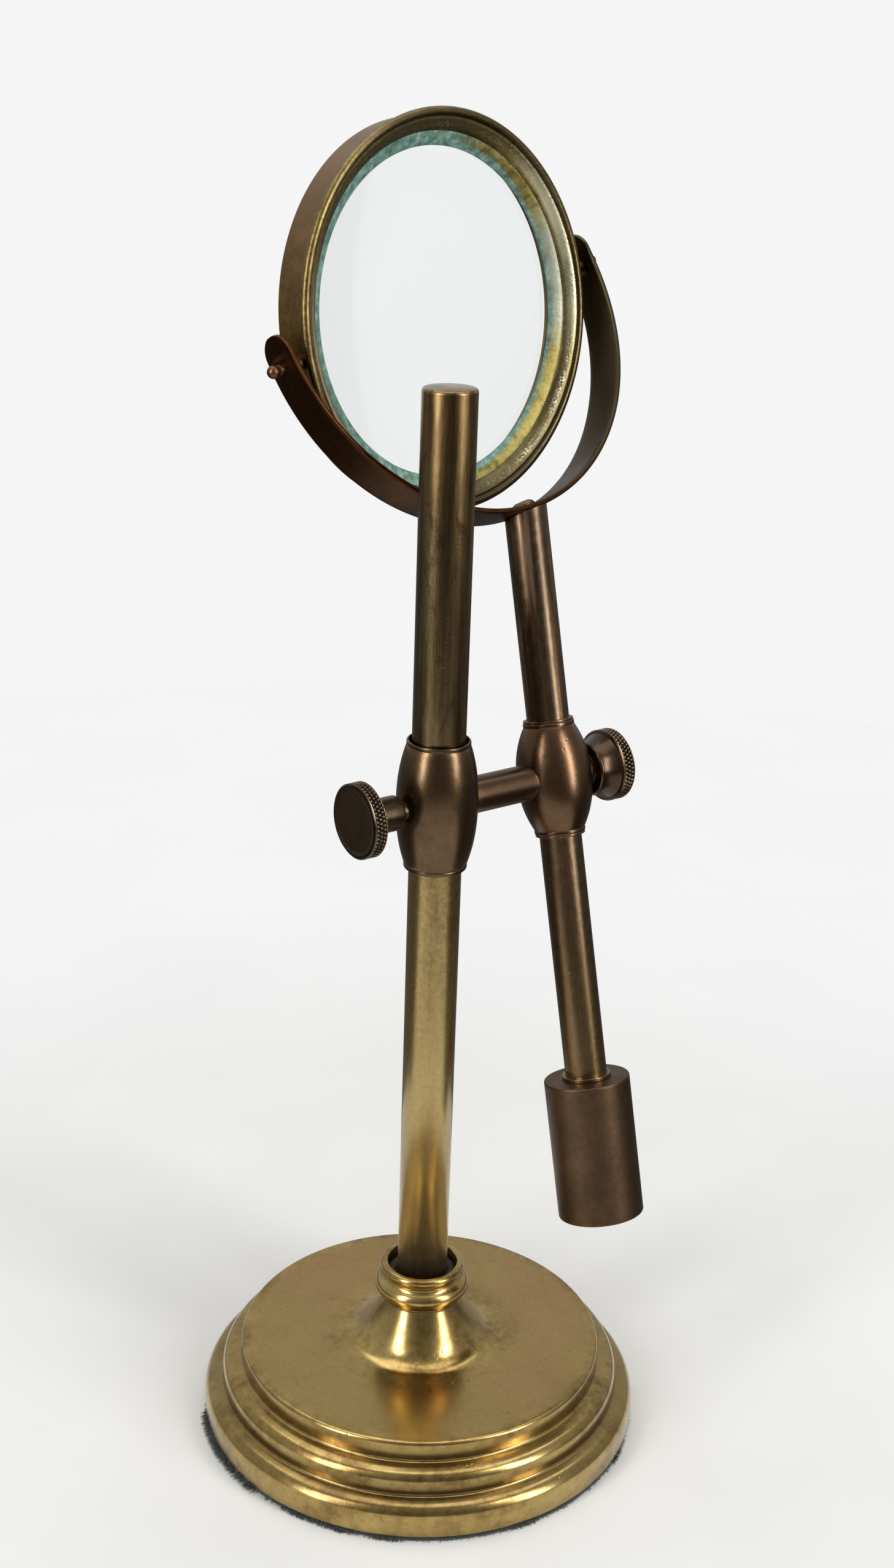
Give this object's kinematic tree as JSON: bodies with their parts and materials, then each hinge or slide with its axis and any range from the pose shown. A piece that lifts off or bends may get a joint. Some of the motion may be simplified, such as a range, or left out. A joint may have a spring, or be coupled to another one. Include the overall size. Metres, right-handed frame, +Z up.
{
  "type": "desk magnifier",
  "caption": "Counterbalanced desk magnifier: a framed round lens in a half-ring yoke on a tilting arm, clamped to a post on a weighted stepped round base.",
  "frame": {"origin": "centre of the felt's flat underside, on the post's axis", "axes": "+Z up along the post; +X from the post along the link rod to the arm pivot; +Y completes the right-handed set, and the arm leans towards +Y"},
  "size_m": [0.1535, 0.125, 0.3624],
  "materials": {
    "brass_base": "aged satin brass with brown patina and fine pitting",
    "brass_post": "aged satin brass, browned towards the top",
    "brass_bright": "worn polished brass",
    "brass_band": "brown patinated brass",
    "bronze_dark": "dark bronze-brown patinated brass",
    "bronze_tube": "dark brown patinated brass with coppery wear",
    "bronze_weight": "matt dark brown patinated brass",
    "bronze_black": "nearly black-brown patinated brass",
    "copper_pin": "coppery brown pins",
    "verdigris": "brass covered in green-grey verdigris",
    "glass": "clear polished glass",
    "felt": "dark green felt",
    "iron": "rough cast iron",
    "steel": "dull steel",
    "packing": "blackened packing ring"
  },
  "bodies": {
    "stand": {"base_shell": "brass_base", "base_flare": "brass_base", "base_collar": "brass_base", "base_ballast": "iron", "base_plate": "steel", "base_felt": "felt", "base_washer": "steel", "base_nut": "steel", "post_stud": "steel", "post_packing": "packing", "post": "brass_post"},
    "liner": {"clamp_liner": "brass_post"},
    "clamp": {"clamp_barrel": "bronze_dark", "link_rod": "bronze_dark"},
    "post_screw": {"post_thumbscrew": "bronze_dark"},
    "tilt_screw": {"tilt_thumbscrew": "bronze_dark"},
    "arm": {"arm_hub": "bronze_dark", "hub_rings": "bronze_tube", "tilt_washer": "steel", "arm_upper_tube": "bronze_tube", "arm_lower_tube": "bronze_tube", "weight_ring": "bronze_tube", "weight_stud": "brass_bright", "counterweight": "bronze_weight", "yoke_plug": "brass_bright", "yoke_screw": "bronze_dark", "yoke_strap": "bronze_black"},
    "lens": {"lens_band": "brass_band", "lens_bezel": "brass_bright", "lens_retainer": "verdigris", "lens_glass": "glass", "pivot_pins": "copper_pin"}
  },
  "joints": [
    {"name": "clamp_slide", "type": "slide", "parent": "stand", "child": "liner", "axis": [0, 0, 1], "range_m": [-0.034, 0.085]},
    {"name": "clamp_swivel", "type": "hinge", "parent": "liner", "child": "clamp", "pos_m": [0, 0, 0.1886], "axis": [0, 0, 1], "continuous": true},
    {"name": "post_screw_turn", "type": "hinge", "parent": "clamp", "child": "post_screw", "pos_m": [-0.02, 0, 0.1886], "axis": [-1, 0, 0], "range_deg": [0, 540]},
    {"name": "tilt_screw_turn", "type": "hinge", "parent": "clamp", "child": "tilt_screw", "pos_m": [0.0549, 0, 0.1886], "axis": [1, 0, 0], "range_deg": [0, 540]},
    {"name": "arm_tilt", "type": "hinge", "parent": "clamp", "child": "arm", "pos_m": [0.0399, 0, 0.1886], "axis": [1, 0, 0], "range_deg": [-105, 2]},
    {"name": "lens_tilt", "type": "hinge", "parent": "arm", "child": "lens", "pos_m": [0.02959, 0.04455, 0.30946], "axis": [0.9708, 0.1719, 0.1675], "range_deg": [-28, 78]}
  ]
}
